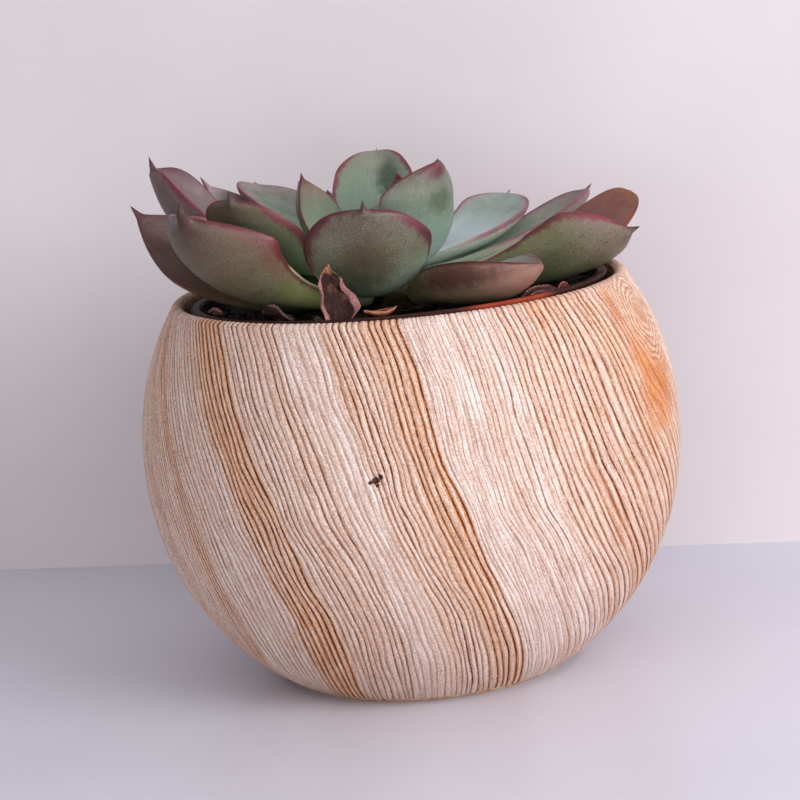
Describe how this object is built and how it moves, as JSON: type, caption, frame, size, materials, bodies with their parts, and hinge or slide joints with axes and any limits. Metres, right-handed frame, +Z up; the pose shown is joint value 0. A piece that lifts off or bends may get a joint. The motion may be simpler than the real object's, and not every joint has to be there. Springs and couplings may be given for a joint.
{
  "type": "potted succulent",
  "caption": "Rosette succulent with thick keeled leaves and dark pointed tips, in a plastic grower's pot set inside a round ribbed-grain wooden bowl.",
  "frame": {"origin": "centre of the wooden bowl's flat foot, on the surface it stands on", "axes": "+Z up along the bowl's axis of revolution; -Y is the side seen in the picture; +X to its right"},
  "size_m": [0.11, 0.11, 0.1091],
  "materials": {
    "pot_wood": "pale wood with the grain blasted out into deep ribs, unvarnished",
    "nursery_plastic": "thin moulded terracotta-red plastic, matte",
    "potting_soil": "dark loose potting mix, rough",
    "stem_bark": "thick woody green-brown stem",
    "leaf_outer_01": "olive grey-green, waxy bloom, dark maroon tip",
    "leaf_outer_02": "olive grey-green, waxy bloom, dark maroon tip",
    "leaf_outer_03": "olive grey-green, waxy bloom, dark maroon tip",
    "leaf_outer_04": "olive grey-green, waxy bloom, dark maroon tip",
    "leaf_outer_05": "olive grey-green, waxy bloom, dark maroon tip",
    "leaf_outer_06": "olive grey-green, waxy bloom, dark maroon tip",
    "leaf_outer_07": "olive grey-green, waxy bloom, dark maroon tip",
    "leaf_outer_08": "olive grey-green, waxy bloom, dark maroon tip",
    "leaf_outer_09": "olive grey-green, waxy bloom, dark maroon tip",
    "leaf_outer_10": "olive grey-green, waxy bloom, dark maroon tip",
    "leaf_outer_11": "olive grey-green, waxy bloom, dark maroon tip",
    "leaf_outer_12": "olive grey-green, waxy bloom, dark maroon tip",
    "leaf_middle_01": "grey-green, waxy bloom, maroon margin and tip",
    "leaf_middle_02": "grey-green, waxy bloom, maroon margin and tip",
    "leaf_middle_03": "grey-green, waxy bloom, maroon margin and tip",
    "leaf_middle_04": "grey-green, waxy bloom, maroon margin and tip",
    "leaf_inner_01": "pale blue-green, waxy bloom, maroon margin and tip",
    "leaf_inner_02": "pale blue-green, waxy bloom, maroon margin and tip",
    "leaf_inner_03": "pale blue-green, waxy bloom, maroon margin and tip",
    "leaf_bud_01": "young leaf, reddish green, satin",
    "leaf_bud_02": "young leaf, reddish green, satin",
    "leaf_bud_03": "young leaf, reddish green, satin",
    "leaf_bud_04": "young leaf, reddish green, satin",
    "dry_leaf_front": "withered dry leaf, brown-red, crumpled",
    "dry_leaf_end": "withered dry leaf, brown-red, crumpled",
    "dry_scrap_01": "withered dry leaf, brown-red, crumpled",
    "dry_scrap_02": "withered dry leaf, brown-red, crumpled",
    "dry_scrap_03": "withered dry leaf, brown-red, crumpled",
    "dry_scrap_04": "withered dry leaf, brown-red, crumpled"
  },
  "bodies": {
    "root": {"pot_bowl": "pot_wood", "nursery_pot": "nursery_plastic", "potting_soil": "potting_soil", "rosette_stem": "stem_bark", "leaf_outer_01": "leaf_outer_01", "leaf_outer_02": "leaf_outer_02", "leaf_outer_03": "leaf_outer_03", "leaf_outer_04": "leaf_outer_04", "leaf_outer_05": "leaf_outer_05", "leaf_outer_06": "leaf_outer_06", "leaf_outer_07": "leaf_outer_07", "leaf_outer_08": "leaf_outer_08", "leaf_outer_09": "leaf_outer_09", "leaf_outer_10": "leaf_outer_10", "leaf_outer_11": "leaf_outer_11", "leaf_outer_12": "leaf_outer_12", "leaf_middle_01": "leaf_middle_01", "leaf_middle_02": "leaf_middle_02", "leaf_middle_03": "leaf_middle_03", "leaf_middle_04": "leaf_middle_04", "leaf_inner_01": "leaf_inner_01", "leaf_inner_02": "leaf_inner_02", "leaf_inner_03": "leaf_inner_03", "leaf_bud_01": "leaf_bud_01", "leaf_bud_02": "leaf_bud_02", "leaf_bud_03": "leaf_bud_03", "leaf_bud_04": "leaf_bud_04", "dry_leaf_front": "dry_leaf_front", "dry_leaf_end": "dry_leaf_end", "dry_scrap_01": "dry_scrap_01", "dry_scrap_02": "dry_scrap_02", "dry_scrap_03": "dry_scrap_03", "dry_scrap_04": "dry_scrap_04"}
  },
  "joints": []
}
